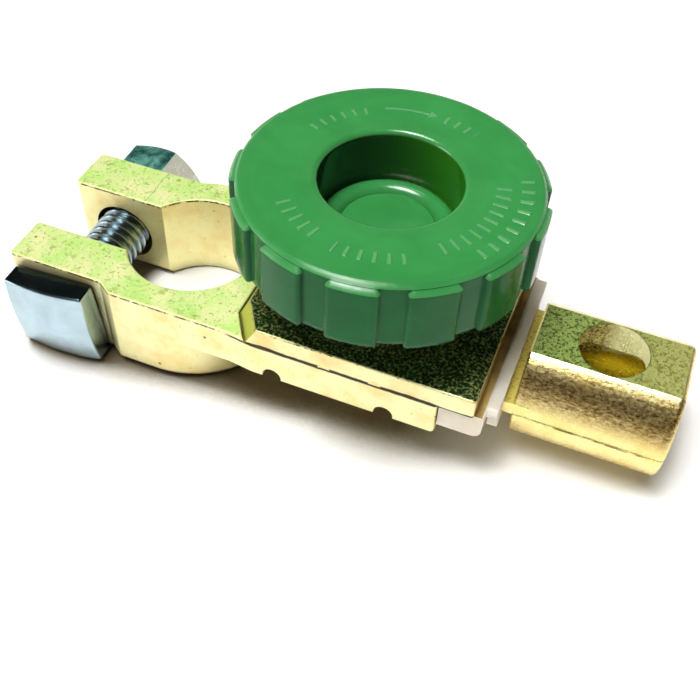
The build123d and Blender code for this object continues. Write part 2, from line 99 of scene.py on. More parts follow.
# Stud of the knob
STUD_PLACE = Vector((28.7, 0.0, 0.0)) * MM
STUD_RADIUS = 5.0 * MM
STUD_PITCH = 1.5 * MM
STUD_THREAD_DEPTH = 0.8 * MM
STUD_TIP = 15.8 * MM
STUD_SEAT = 24.35 * MM

# Threads: mesh fineness, and the share and steepness of the valley in one turn
THREAD_SEGMENTS = 56
THREAD_STEPS = 12
THREAD_VALLEY = 1.25
THREAD_FLANK = 3.2
SHANK_MARGIN = 1.002
SHANK_SLACK = 0.02 * MM
AXIS_REACH = 0.001 * MM

# Ring and plate, in millimetres
BORE_RADIUS = 9.5
RING_TOP = 13.6
PLATE_LEFT = 12.0
PLATE_TOP = 16.3
PLATE_RIGHT = 46.4
SEAM_Z = 13.2
CRACK_X = -11.35
CRACK_START_Y = (4.9, 5.3)

# Knob, in millimetres
KNOB_X = 28.7
KNOB_TOP = 35.2
RECESS_RADIUS = 8.95
RECESS_FLOOR = 27.3
GLOSSY_MIDDLE = (11.6, 11.0)
GLOSSY_RIM = (16.8, 17.4)
ROUNDED_RIM = (17.3, 18.5)
ROUNDING = (0.15, 0.8)

# Barrel, in millimetres
BARREL_AXIS_Z = 10.1
BARREL_HOLE_X = 60.23
BARREL_HOLE_RADIUS = 4.5
BARREL_LEFT = 50.3
SOCKET_RADIUS = 5.5
HOLE_FOOT_Z = (12.4, 12.8)
GREEN_TO_OLIVE_X = (58.0, 67.0)
RAW_BORDER_X = (56.0, 65.0)
RAW_BORDER_Z = (10.2, 13.4)
RAW_PAINTED_LIGHT_FROM_X = (58.4, 60.4)
RAW_SLOPE_Z = (8.0, 18.0)


def linear(value):
    """One display value from 0 to 255 as linear light."""
    if value > 10:
        return ((value / 255 + 0.055) / 1.055) ** 2.4
    return value / 255 / 12.92


def srgb(red, green, blue):
    """A colour given as 0 to 255 display values, as linear light."""
    return linear(red), linear(green), linear(blue)


def scaled(colour, factor):
    """A colour made brighter or darker."""
    return tuple(factor * c for c in colour)


# Clamp casting colours
CLAMP_TOP_GREEN = srgb(212, 250, 140)
CLAMP_TOP_YELLOW = srgb(244, 248, 176)
CLAMP_TOP_SHADE = srgb(176, 202, 100)
CLAMP_TOP_SPECK = srgb(138, 146, 62)
CLAMP_TOP_GLINT = srgb(250, 254, 206)
CLAMP_SIDE_CREAM = srgb(255, 248, 190)
CLAMP_SIDE_WARM = srgb(248, 228, 156)
CLAMP_SIDE_STAIN = srgb(230, 198, 126)
CLAMP_DIRT_AND_SHADE = srgb(58, 44, 18)

# Plate colours
PLATE_TOP_DARK = srgb(46, 72, 38)
PLATE_TOP_SPECK = srgb(196, 206, 122)
PLATE_PAINTED_SHADOW_UNDER_KNOB = srgb(6, 14, 8)
PLATE_SIDE_CREAM = srgb(250, 243, 186)
PLATE_SIDE_WARM = srgb(238, 214, 144)
PLATE_END_SHADE_DARK = srgb(150, 124, 46)
PLATE_END_SHADE_PALE = srgb(186, 158, 70)
PLATE_RAMP = srgb(194, 194, 92)
PLATE_GRIME = srgb(48, 38, 16)

# Barrel colours
BARREL_GOLD_LIGHT = srgb(255, 238, 168)
BARREL_GOLD_DEEP = srgb(242, 216, 134)
BARREL_FLAT_GREEN = srgb(168, 190, 102)
BARREL_FLAT_MOSS = srgb(74, 96, 38)
BARREL_FLAT_OLIVE = srgb(196, 198, 118)
BARREL_FLAT_KHAKI = srgb(136, 138, 68)
BARREL_NECK = srgb(236, 220, 114)
BARREL_DARK_REFLECTION = srgb(116, 80, 34)
BARREL_SHINE = srgb(254, 250, 226)
BARREL_PARTING = srgb(70, 54, 20)
BARREL_INSIDE = srgb(204, 188, 84)
RAW_LIGHT = srgb(255, 244, 150)
RAW_DARK = srgb(112, 88, 26)
RAW_PAINTED_LIGHT = srgb(255, 252, 190)

# Bolt, stud and nut colours
BOLT_ZINC = srgb(190, 212, 222)
STUD_ZINC = srgb(150, 170, 162)
ZINC_TOP_SHADE = srgb(58, 74, 80)
NUT_TEAL_DEEP = srgb(34, 92, 84)
NUT_TEAL_PALE = srgb(120, 196, 182)
NUT_PALE_REFLECTION = srgb(246, 242, 230)

# Nylon colours
NYLON_WARM = srgb(226, 214, 194)
NYLON_CLEAN = srgb(240, 234, 222)
NYLON_SLOT_SHADE_DARK = srgb(150, 120, 58)
NYLON_SLOT_SHADE_PALE = srgb(196, 166, 96)

# Knob colours
KNOB_TOP_GREEN = srgb(53, 140, 70)
KNOB_TOP_LIGHT = srgb(59, 148, 76)
KNOB_SIDE_SHADE_GREEN = srgb(0, 86, 36)
KNOB_SIDE_SHADE_PALE = srgb(4, 98, 40)
RECESS_SHADE_DARK = srgb(8, 20, 2)
RECESS_SHADE_PALE = srgb(44, 112, 8)
KNOB_MARK_HIGHLIGHT = srgb(112, 186, 124)


def make_camera():
    """The camera that took the photograph, with its roll."""
    data = bpy.data.cameras.new("camera")
    data.sensor_width = SENSOR_MM
    data.lens = SENSOR_MM * CAMERA_FOCAL_PX / IMAGE_PX
    data.clip_start = CLIP_START
    data.clip_end = CLIP_END
    camera = bpy.data.objects.new("camera", data)
    bpy.context.scene.collection.objects.link(camera)
    level = Vector((-math.sin(CAMERA_AZIMUTH), math.cos(CAMERA_AZIMUTH), 0))
    right = Vector((math.cos(CAMERA_AZIMUTH), math.sin(CAMERA_AZIMUTH), 0))
    ahead = math.cos(CAMERA_ELEVATION) * level - math.sin(CAMERA_ELEVATION) * Vector((0, 0, 1))
    up = right.cross(ahead)
    rolled_right = math.cos(CAMERA_ROLL) * right + math.sin(CAMERA_ROLL) * up
    rolled_up = -math.sin(CAMERA_ROLL) * right + math.cos(CAMERA_ROLL) * up
    turn = Matrix((rolled_right, rolled_up, -ahead)).transposed()
    camera.matrix_world = Matrix.Translation(CAMERA_PLACE) @ turn.to_4x4()
    bpy.context.scene.camera = camera


def add_ramp(tree, value, stops):
    """A colour ramp driven by a value, its stops given as positions and colours."""
    node = tree.nodes.new("ShaderNodeValToRGB")
    marks = node.color_ramp.elements
    while len(marks) < len(stops):
        marks.new(0.5)
    for mark, (position, colour) in zip(marks, stops):
        mark.position = position
        mark.color = (*colour, 1)
    tree.links.new(value, node.inputs["Fac"])
    return node.outputs["Color"]


def add_mix(tree, blend):
    """A colour mix node with its factor, its two colour inputs and its colour output."""
    node = tree.nodes.new("ShaderNodeMix")
    node.data_type = "RGBA"
    node.blend_type = blend
    return node.inputs["Factor"], node.inputs[6], node.inputs[7], node.outputs[2]


class Shader:
    """A small helper that wires one procedural material. Lengths are in millimetres."""

    def __init__(self, name):
        self.material = bpy.data.materials.new(name)
        self.material.use_nodes = True
        self.tree = self.material.node_tree
        self.nodes = self.tree.nodes
        self.links = self.tree.links
        self.surface = self.nodes["Principled BSDF"]
        scale = self.nodes.new("ShaderNodeVectorMath")
        scale.operation = "SCALE"
        scale.inputs["Scale"].default_value = 1 / MM
        self.links.new(self.nodes.new("ShaderNodeTexCoord").outputs["Object"], scale.inputs[0])
        self.place = scale.outputs[0]
        split = self.nodes.new("ShaderNodeSeparateXYZ")
        self.links.new(self.place, split.inputs[0])
        self.x, self.y, self.z = split.outputs
        split = self.nodes.new("ShaderNodeSeparateXYZ")
        self.links.new(self.nodes.new("ShaderNodeNewGeometry").outputs["Normal"], split.inputs[0])
        self.nx, self.ny, self.nz = split.outputs

    def set(self, **values):
        """Fixed values for sockets of the surface, their names written with underscores."""
        for key, value in values.items():
            self.surface.inputs[key.replace("_", " ")].default_value = value

    def feed(self, value, socket):
        """Sets a socket to a colour or number, or links an output to it."""
        if isinstance(value, tuple):
            socket.default_value = (*value, 1) if len(value) == 3 else value
        elif isinstance(value, (int, float)):
            socket.default_value = value
        else:
            self.links.new(value, socket)

    def noise(self, size, detail=3.0, rough=0.6, stretch=None, distortion=0.0):
        """Noise from 0 to 1 whose largest grains are about size millimetres."""
        node = self.nodes.new("ShaderNodeTexNoise")
        node.inputs["Scale"].default_value = 1 / size
        node.inputs["Detail"].default_value = detail
        node.inputs["Roughness"].default_value = rough
        node.inputs["Distortion"].default_value = distortion
        place = self.place
        if stretch:
            mapping = self.nodes.new("ShaderNodeMapping")
            mapping.inputs["Scale"].default_value = stretch
            self.links.new(place, mapping.inputs["Vector"])
            place = mapping.outputs["Vector"]
        self.links.new(place, node.inputs["Vector"])
        return node.outputs["Fac"]

    def pits(self, size):
        """Distance to scattered points, small at each pit."""
        node = self.nodes.new("ShaderNodeTexVoronoi")
        node.inputs["Scale"].default_value = 1 / size
        self.links.new(self.place, node.inputs["Vector"])
        return node.outputs["Distance"]

    def ramp(self, value, stops):
        """A colour that follows a value through stops."""
        return add_ramp(self.tree, value, stops)

    def span(self, value, low, high, to_low=0.0, to_high=1.0):
        """Straight-line change of a value, held at both ends; low may be above high."""
        node = self.nodes.new("ShaderNodeMapRange")
        for socket, number in zip(("From Min", "From Max", "To Min", "To Max"), (low, high, to_low, to_high)):
            node.inputs[socket].default_value = number
        self.links.new(value, node.inputs["Value"])
        return node.outputs["Result"]

    def mix(self, factor, first, second):
        """The first colour where the factor is 0, the second where it is 1."""
        share, low, high, result = add_mix(self.tree, "MIX")
        self.feed(factor, share)
        self.feed(first, low)
        self.feed(second, high)
        return result

    def math(self, operation, first, second=0.0):
        node = self.nodes.new("ShaderNodeMath")
        node.operation = operation
        for socket, value in zip(node.inputs, (first, second)):
            self.feed(value, socket)
        return node.outputs[0]

    def times(self, *values):
        result = values[0]
        for value in values[1:]:
            result = self.math("MULTIPLY", result, value)
        return result

    def near(self, value, centre, half, soft):
        """1 within half of the centre, fading to 0 over soft."""
        away = self.math("ABSOLUTE", self.math("SUBTRACT", value, centre))
        return self.span(away, half + soft, half)

    def radius(self, centre_x, centre_y):
        """Distance from an upright axis."""
        dx = self.math("SUBTRACT", self.x, centre_x)
        dy = self.math("SUBTRACT", self.y, centre_y)
        return self.math("SQRT", self.math("ADD", self.times(dx, dx), self.times(dy, dy)))

    def angle(self, centre_x, centre_y):
        """Angle round an upright axis, from -180 to 180 degrees."""
        dx = self.math("SUBTRACT", self.x, centre_x)
        dy = self.math("SUBTRACT", self.y, centre_y)
        return self.math("MULTIPLY", self.math("ARCTAN2", dy, dx), 180 / math.pi)

    def hollow(self, reach, samples=6):
        """Low in hollows and under overhangs closer than reach, 1 in the open."""
        node = self.nodes.new("ShaderNodeAmbientOcclusion")
        node.samples = samples
        node.inputs["Distance"].default_value = reach * MM
        return node.outputs["AO"]

    def colour(self, output):
        self.feed(output, self.surface.inputs["Base Color"])

    def roughness(self, output):
        self.feed(output, self.surface.inputs["Roughness"])

    def metallic(self, output):
        self.feed(output, self.surface.inputs["Metallic"])

    def bump(self, *heights, edge=0.0):
        """heights are (output, depth in millimetres) pairs, stacked on edges rounded by edge millimetres."""
        last = None
        if edge:
            node = self.nodes.new("ShaderNodeBevel")
            node.samples = 4
            self.feed(edge * MM if isinstance(edge, float) else self.times(edge, MM), node.inputs["Radius"])
            last = node.outputs["Normal"]
        for output, depth in heights:
            node = self.nodes.new("ShaderNodeBump")
            node.inputs["Distance"].default_value = depth * MM
            self.links.new(output, node.inputs["Height"])
            if last:
                self.links.new(last, node.inputs["Normal"])
            last = node.outputs["Normal"]
        self.links.new(last, self.surface.inputs["Normal"])


def clamp_plating():
    """Yellow-plated casting: speckled green tops, smoother cream sides, dark specks at edges, painted shade
    in hollows.
    """
    s = Shader("clamp_plating")
    top = s.span(s.nz, 0.6, 0.9)
    grain = s.noise(0.45, 2.0, 0.7)
    cloud = s.noise(4.5, 3.0, 0.6)
    fine = s.noise(1.3, 3.0, 0.65)
    tops = s.mix(s.span(cloud, 0.40, 0.62), CLAMP_TOP_GREEN, CLAMP_TOP_YELLOW)
    tops = s.mix(s.span(fine, 0.56, 0.72), tops, CLAMP_TOP_SHADE)
    tops = s.mix(s.span(grain, 0.60, 0.74), tops, CLAMP_TOP_SPECK)
    tops = s.mix(s.span(grain, 0.40, 0.28), tops, CLAMP_TOP_GLINT)
    sides = s.mix(s.span(cloud, 0.45, 0.70), CLAMP_SIDE_CREAM, CLAMP_SIDE_WARM)
    sides = s.mix(s.span(fine, 0.64, 0.76), sides, CLAMP_SIDE_STAIN)
    body = s.mix(top, sides, tops)
    # casting pores and a dark line of specks under the top edge
    pores = s.span(s.pits(2.6), 0.11, 0.06)
    left_of_plate = s.span(s.x, PLATE_LEFT + 0.5, PLATE_LEFT - 0.5)
    edge_line = s.times(s.near(s.z, RING_TOP - 0.25, 0.05, 0.14), s.span(fine, 0.44, 0.54), left_of_plate)
    dark_marks = s.math("MAXIMUM", s.times(pores, s.span(cloud, 0.50, 0.60), 0.8), edge_line)
    # hairline across the back ear
    crack_x = s.math("ADD", s.math("MULTIPLY", fine, 0.9), CRACK_X)
    crack = s.times(s.near(s.x, crack_x, 0.02, 0.07), s.span(s.y, *CRACK_START_Y), top)
    dark_marks = s.math("MAXIMUM", dark_marks, s.times(crack, 0.5))
    # dark seam under the plate, and painted shade in hollows such as the one beside the bolt head
    seam_z = s.math("ADD", SEAM_Z - 0.25, s.math("MULTIPLY", fine, 0.3))
    under_plate = s.span(s.x, PLATE_LEFT - 0.5, PLATE_LEFT + 0.5)
    seam = s.times(s.near(s.z, seam_z, 0.10, 0.16), under_plate, s.span(s.ny, -0.4, -0.7))
    painted_shade = s.times(s.span(s.hollow(4.0), 0.74, 0.34), 0.9)
    dark_marks = s.math("MAXIMUM", dark_marks, s.math("MAXIMUM", seam, painted_shade))
    s.colour(s.mix(dark_marks, body, CLAMP_DIRT_AND_SHADE))
    s.metallic(s.span(top, 0.0, 1.0, 0.62, 0.30))
    s.roughness(s.span(cloud, 0.3, 0.7, 0.34, 0.48))
    s.bump((grain, 0.05), (fine, 0.07), (cloud, 0.12), edge=0.12)
    return s.material


def plate_plating():
    """Rolled plate, smoother than the castings, so that its top mirrors the knob above it; a painted shadow
    darkens its top under the knob.
    """
    s = Shader("plate_plating")
    top = s.span(s.nz, 0.8, 0.95)
    grain = s.noise(0.40, 2.0, 0.75)
    cloud = s.noise(5.0, 3.0, 0.6)
    tops = s.mix(s.span(grain, 0.50, 0.64), PLATE_TOP_DARK, PLATE_TOP_SPECK)
    # painted shadow: the top goes near-black where the knob overhangs it
    tops = s.mix(s.span(s.hollow(12.0), 0.75, 0.35), tops, PLATE_PAINTED_SHADOW_UNDER_KNOB)
    sides = s.mix(s.span(cloud, 0.45, 0.70), PLATE_SIDE_CREAM, PLATE_SIDE_WARM)
    # painted shade: the right end face is darker brown than the other sides
    right_end = s.mix(s.span(cloud, 0.4, 0.6), PLATE_END_SHADE_DARK, PLATE_END_SHADE_PALE)
    sides = s.mix(s.span(s.nx, 0.7, 0.9), sides, right_end)
    sides = s.mix(s.span(s.nx, -0.3, -0.6), sides, PLATE_RAMP)
    top_edge = s.times(s.near(s.z, PLATE_TOP - 0.1, 0.10, 0.12), s.span(s.nz, 0.9, 0.6))
    worn = s.times(top_edge, s.span(s.noise(1.1, 3.0, 0.7), 0.54, 0.62))
    seam_z = s.math("ADD", SEAM_Z - 0.05, s.math("MULTIPLY", cloud, 0.7))
    seam = s.times(s.span(s.math("SUBTRACT", s.z, seam_z), 0.12, -0.05), s.span(s.ny, -0.4, -0.7))
    dark_marks = s.math("MAXIMUM", worn, seam)
    s.colour(s.mix(dark_marks, s.mix(top, sides, tops), PLATE_GRIME))
    s.metallic(s.span(top, 0.0, 1.0, 0.70, 0.55))
    grainy = s.times(top, s.span(grain, 0.35, 0.65, 0.0, 0.14))
    s.roughness(s.math("ADD", s.span(top, 0.0, 1.0, 0.40, 0.22), grainy))
    s.bump((s.times(grain, top), 0.035), (cloud, 0.06), edge=0.10)
    return s.material


def barrel_plating():
    """Bright yellow plating on the cable barrel with a painted dark reflection band and a painted highlight
    line along its front, and a raw bore in its flat.
    """
    s = Shader("barrel_plating")
    flat = s.span(s.nz, 0.93, 0.985)
    grain = s.noise(0.42, 2.0, 0.75)
    streak = s.noise(0.8, 3.0, 0.7, stretch=(0.35, 1.0, 1.0))
    cloud = s.noise(5.0, 3.0, 0.6)
    gold = s.mix(s.span(cloud, 0.40, 0.68), BARREL_GOLD_LIGHT, BARREL_GOLD_DEEP)
    green = s.mix(s.span(grain, 0.44, 0.60), BARREL_FLAT_GREEN, BARREL_FLAT_MOSS)
    olive = s.mix(s.span(grain, 0.44, 0.62), BARREL_FLAT_OLIVE, BARREL_FLAT_KHAKI)
    tops = s.mix(s.span(s.x, *GREEN_TO_OLIVE_X), green, olive)
    tops = s.mix(s.span(s.x, BARREL_LEFT + 0.2, BARREL_LEFT - 0.2), tops, BARREL_NECK)
    fibres = s.noise(0.30, 3.0, 0.75, stretch=(0.45, 1.0, 1.0))
    # painted dark reflection: a brown band on the front slope, and above it a painted highlight line
    front_slope = s.times(s.near(s.nz, 0.52, 0.12, 0.26), s.span(s.ny, 0.0, -0.3))
    painted_band = s.times(front_slope, s.span(fibres, 0.36, 0.62, 0.35, 0.95))
    round_side = s.mix(painted_band, gold, BARREL_DARK_REFLECTION)
    round_side = s.mix(s.times(s.near(s.nz, 0.90, 0.05, 0.06), 0.45), round_side, BARREL_SHINE)
    body = s.mix(flat, round_side, tops)
    off_axis = s.math("SUBTRACT", s.z, BARREL_AXIS_Z)
    from_axis = s.math("SQRT", s.math("ADD", s.times(s.y, s.y), s.times(off_axis, off_axis)))
    in_socket = s.span(from_axis, SOCKET_RADIUS + 0.25, SOCKET_RADIUS + 0.1)
    in_socket = s.times(in_socket, s.span(s.x, BARREL_LEFT, BARREL_LEFT + 1.0))
    from_hole = s.radius(BARREL_HOLE_X, 0.0)
    in_hole = s.span(from_hole, BARREL_HOLE_RADIUS + 0.10, BARREL_HOLE_RADIUS - 0.02)
    in_hole = s.times(in_hole, s.span(s.z, *HOLE_FOOT_Z))
    inside = s.math("MAXIMUM", in_socket, in_hole)
    parting = s.times(s.near(s.z, BARREL_AXIS_Z, 0.10, 0.10), s.span(streak, 0.42, 0.55))
    parting = s.times(parting, s.math("SUBTRACT", 1.0, inside))
    body = s.mix(s.times(parting, 0.8), body, BARREL_PARTING)
    body = s.mix(inside, body, BARREL_INSIDE)
    # upper part of the bore is left raw, down to a ragged border
    ragged = s.math("MULTIPLY", s.math("SUBTRACT", streak, 0.5), 5.0)
    border = s.math("ADD", s.span(s.x, *RAW_BORDER_X, *RAW_BORDER_Z), ragged)
    raw = s.times(inside, s.span(s.math("SUBTRACT", s.z, border), -0.1, 0.1))
    rough_metal = s.mix(s.span(grain, 0.42, 0.56), RAW_LIGHT, RAW_DARK)
    # painted light: the raw bore is painted brighter towards +x
    rough_metal = s.mix(s.span(s.x, *RAW_PAINTED_LIGHT_FROM_X), rough_metal, RAW_PAINTED_LIGHT)
    s.colour(s.mix(raw, body, rough_metal))
    s.metallic(s.times(s.span(raw, 0.0, 1.0, 1.0, 0.10), s.span(flat, 0.0, 1.0, 1.0, 0.30)))
    s.roughness(s.span(grain, 0.35, 0.65, 0.24, 0.40))
    deep = s.math("ADD", s.span(flat, 0.0, 1.0, 0.14, 0.35), s.math("MULTIPLY", raw, 2.0))
    sloped = s.times(raw, s.span(s.z, *RAW_SLOPE_Z, 1.0, 0.0))
    s.bump((sloped, 8.0), (s.times(grain, deep), 0.10), (streak, 0.05), (cloud, 0.08), edge=0.12)
    return s.material


def zinc_plating(name, tint, rough):
    """Bright zinc with faint clouds and fine scratches, and painted shade on up-facing faces and in hollows.
    """
    s = Shader(name)
    clouds = s.noise(4.0, 3.0, 0.6, distortion=0.4)
    scratches = s.noise(0.7, 2.0, 0.6, stretch=(0.25, 1.0, 3.0))
    open_tint = s.mix(s.span(clouds, 0.35, 0.65), scaled(tint, 0.82), tint)
    # painted shade: darker on up-facing faces, and near-black in hollows
    open_tint = s.mix(s.span(s.nz, 0.55, 0.85), open_tint, ZINC_TOP_SHADE)
    s.colour(s.mix(s.span(s.hollow(1.6), 0.35, 0.85), scaled(tint, 0.10), open_tint))
    s.set(Metallic=1.0)
    s.roughness(s.span(clouds, 0.3, 0.7, rough, rough + 0.10))
    s.bump((scratches, 0.012), (clouds, 0.10), edge=0.15)
    return s.material


def nut_plating():
    """Teal-tinted zinc on the upper flats; the other flats are painted pale, a painted reflection."""
    s = Shader("nut_plating")
    clouds = s.noise(2.5, 3.0, 0.7, distortion=0.5)
    teal = s.mix(s.span(clouds, 0.35, 0.62), NUT_TEAL_DEEP, NUT_TEAL_PALE)
    s.colour(s.mix(s.span(s.nz, 0.55, 0.80), NUT_PALE_REFLECTION, teal))
    s.metallic(s.span(s.nz, 0.55, 0.80, 0.25, 0.55))
    s.roughness(s.span(clouds, 0.3, 0.7, 0.18, 0.32))
    s.bump((clouds, 0.12), edge=0.2)
    return s.material


def nylon():
    """Cloudy white nylon with painted shade in the slot beside the plate."""
    s = Shader("white_nylon")
    haze = s.noise(5.0, 3.0, 0.6)
    grain = s.noise(0.45, 2.0, 0.6)
    clean = s.ramp(haze, ((0.3, NYLON_WARM), (0.7, NYLON_CLEAN)))
    facing_up = s.times(s.span(s.nz, 0.6, 0.8), s.span(s.z, SEAM_Z - 1.0, SEAM_Z - 0.5))
    # painted shade: brown on the up-facing nylon in the slot beside the plate's end
    slot = s.times(s.near(s.x, PLATE_RIGHT + 0.2, 0.7, 0.15), facing_up)
    painted_shade = s.mix(s.span(haze, 0.4, 0.6), NYLON_SLOT_SHADE_DARK, NYLON_SLOT_SHADE_PALE)
    s.colour(s.mix(slot, clean, painted_shade))
    s.set(Subsurface_Weight=0.35, Subsurface_Scale=0.002, Subsurface_Radius=(1.0, 0.8, 0.6))
    s.roughness(s.span(grain, 0.3, 0.7, 0.38, 0.55))
    s.bump((grain, 0.02), (haze, 0.08), edge=0.12)
    return s.material


# Raised marks on the top of the knob: rows of plain radial bars and one curved arrow.
# Each row has a middle radius, a half length, and a first and last angle in degrees.
MARK_ROWS = (
    (13.8, 0.85, -141.0, -109.0),
    (14.4, 0.75, -97.0, -63.0),
    (13.7, 0.85, -46.0, 16.0),
    (16.5, 0.70, -37.0, 24.0),
    (13.9, 0.60, 60.0, 80.0),
    (13.4, 0.60, 120.0, 158.0),
)
MARK_STEP_DEG = 6.5
MARK_SHARE = 0.26
ARROW_RADIUS = 13.9
ARROW_SHAFT_EDGE = (0.26, 0.12)
ARROW_MIDDLE_DEG = 101.0
ARROW_HALF_DEG = 12.0
ARROW_HEAD_DEG = 5.0
ARROW_HEAD_HALF = 0.75
ARROW_HEAD_MIDDLE_DEG = 2.3
ARROW_HEAD_REACH_DEG = 2.2


def mark_height(s):
    """Height from 0 to 1 of the raised bars and of one curved arrow."""
    reach = s.radius(KNOB_X, 0.0)
    angle = s.angle(KNOB_X, 0.0)
    off_line = s.math("ABSOLUTE", s.math("SUBTRACT", reach, ARROW_RADIUS))
    shaft = s.times(s.span(off_line, *ARROW_SHAFT_EDGE), s.near(angle, ARROW_MIDDLE_DEG, ARROW_HALF_DEG, 0.5))
    tip = ARROW_MIDDLE_DEG - ARROW_HALF_DEG
    width = s.span(angle, tip - ARROW_HEAD_DEG, tip, 0.0, ARROW_HEAD_HALF)
    in_width = s.span(s.math("SUBTRACT", off_line, width), 0.08, -0.08)
    in_length = s.near(angle, tip - ARROW_HEAD_MIDDLE_DEG, ARROW_HEAD_REACH_DEG, 0.4)
    head = s.times(in_width, in_length)
    total = s.math("MAXIMUM", shaft, head)
    step = s.math("FRACT", s.math("DIVIDE", s.math("ADD", angle, 360.0), MARK_STEP_DEG))
    off_bar = s.math("ABSOLUTE", s.math("SUBTRACT", step, 0.5))
    bars = s.span(off_bar, MARK_SHARE / 2 + 0.05, MARK_SHARE / 2 - 0.05)
    for radius, half, first, last in MARK_ROWS:
        along_arc = s.near(angle, (first + last) / 2, (last - first) / 2, 0.3)
        row = s.times(s.near(reach, radius, half, 0.18), along_arc)
        total = s.math("MAXIMUM", total, s.times(row, bars))
    return s.times(total, s.span(s.z, KNOB_TOP - 0.15, KNOB_TOP - 0.05))


def knob_plastic():
    """Green moulding with slight flow waves, raised marks with a painted highlight, painted shade on the
    recess wall and glossier edges.
    """
    s = Shader("green_plastic")
    from_axis = s.radius(KNOB_X, 0.0)
    flow = s.noise(7.0, 3.0, 0.6, distortion=0.6)
    fine = s.noise(0.55, 2.0, 0.6)
    green = s.mix(s.span(flow, 0.35, 0.65), KNOB_TOP_GREEN, KNOB_TOP_LIGHT)
    # painted shade: the upright sides are a darker green than the top
    upright = s.span(s.nz, 0.55, 0.15)
    green = s.mix(upright, green, s.mix(s.span(flow, 0.35, 0.65), KNOB_SIDE_SHADE_GREEN, KNOB_SIDE_SHADE_PALE))
    in_recess = s.span(from_axis, RECESS_RADIUS + 0.65, RECESS_RADIUS + 0.15)
    recess_wall = s.times(upright, in_recess, s.span(s.z, RECESS_FLOOR - 0.3, RECESS_FLOOR + 0.3))
    # painted shade: the recess wall goes from near-black on the left to dark green on the right
    recess_shade = s.mix(s.span(s.x, KNOB_X - 6.0, KNOB_X + 5.0), RECESS_SHADE_DARK, RECESS_SHADE_PALE)
    marks = mark_height(s)
    # painted highlight: the raised marks are lighter green
    green = s.mix(s.times(marks, 0.45), green, KNOB_MARK_HIGHLIGHT)
    s.colour(s.mix(recess_wall, green, recess_shade))
    s.set(IOR=1.46)
    rim = s.times(s.span(from_axis, *GLOSSY_RIM), s.span(s.nz, 0.2, 0.5))
    glossy = s.math("MAXIMUM", s.span(from_axis, *GLOSSY_MIDDLE), rim)
    s.feed(s.span(glossy, 0.0, 1.0, 0.25, 0.8), s.surface.inputs["Specular IOR Level"])
    s.roughness(s.span(fine, 0.3, 0.7, 0.12, 0.20))
    rounding = s.span(from_axis, *ROUNDED_RIM, *ROUNDING)
    s.bump((fine, 0.004), (flow, 0.07), (marks, 0.12), edge=rounding)
    return s.material


def give(node, material):
    """Makes this the one material of an object."""
    obj = bpy.data.objects[node]
    obj.data.materials.clear()
    obj.data.materials.append(material)


def plane(name, size, place, turn):
    """A square plane."""
    mesh = bpy.data.meshes.new(name)
    half = size / 2
    corners = [(-half, -half, 0), (half, -half, 0), (half, half, 0), (-half, half, 0)]
    mesh.from_pydata(corners, [], [(0, 1, 2, 3)])
    obj = bpy.data.objects.new(name, mesh)
    obj.location = place
    obj.rotation_euler = turn
    bpy.context.scene.collection.objects.link(obj)
    return obj


def make_stage():
    """A white table, tilted so that the part rests on its ring, its bolt head and its barrel.

    For the camera and in reflections a painted brown contact shadow darkens it right beside the part,
    most of all left of the barrel, and hardly inside the bore.
    """
    turn = (math.atan(FLOOR_SLOPE_Y), -math.atan(FLOOR_SLOPE_X), 0)
    floor = plane("floor", FLOOR_SIZE, (0, 0, -FLOOR_DROP), turn)
    white = Shader("floor_white")
    paper = white.ramp(white.noise(30.0), ((0.3, PAPER_DARK), (0.7, PAPER_LIGHT)))
    rays = white.nodes.new("ShaderNodeLightPath")
    seen = white.math("MAXIMUM", rays.outputs["Is Camera Ray"], rays.outputs["Is Glossy Ray"])
    seen = white.math("MAXIMUM", seen, rays.outputs["Is Transmission Ray"])
    from_axis = white.radius(0.0, 0.0)
    outside_bore = white.span(from_axis, BORE_RADIUS + 0.5, BORE_RADIUS + 3.0, CONTACT_SHARE_IN_BORE, 1.0)
    left_of_barrel = white.span(white.x, *CONTACT_FADE_X, 1.0, CONTACT_SHARE_RIGHT)
    # painted contact shadow: brown where ambient occlusion finds the part close by
    painted_contact_shadow = white.span(white.hollow(CONTACT_REACH, FLOOR_HOLLOW_SAMPLES), *CONTACT_OPENNESS)
    shade = white.times(seen, outside_bore, left_of_barrel, painted_contact_shadow)
    white.colour(white.mix(shade, paper, CONTACT_PAINTED_SHADOW))
    white.set(Roughness=0.9)
    floor.data.materials.append(white.material)


def sun(name, towards, strength, angle_deg):
    """A distant lamp in the given direction."""
    data = bpy.data.lights.new(name, "SUN")
    data.energy = strength
    data.angle = math.radians(angle_deg)
    light = bpy.data.objects.new(name, data)
    light.rotation_euler = Vector(towards).to_track_quat("Z", "Y").to_euler()
    bpy.context.scene.collection.objects.link(light)


def world_math(world, operation, first, second):
    """One sum or comparison of two outputs in the world's shader."""
    node = world.node_tree.nodes.new("ShaderNodeMath")
    node.operation = operation
    world.node_tree.links.new(first, node.inputs[0])
    world.node_tree.links.new(second, node.inputs[1])
    return node.outputs[0]


def add_lamp_glow(world, way, total, lamp_way, stops):
    """Adds to the total a round glow in the direction of a lamp."""
    links = world.node_tree.links
    facing = world.node_tree.nodes.new("ShaderNodeVectorMath")
    facing.operation = "DOT_PRODUCT"
    links.new(way, facing.inputs[0])
    facing.inputs[1].default_value = lamp_way
    share, first, second, result = add_mix(world.node_tree, "ADD")
    share.default_value = 1.0
    links.new(total, first)
    links.new(add_ramp(world.node_tree, facing.outputs["Value"], stops), second)
    return result


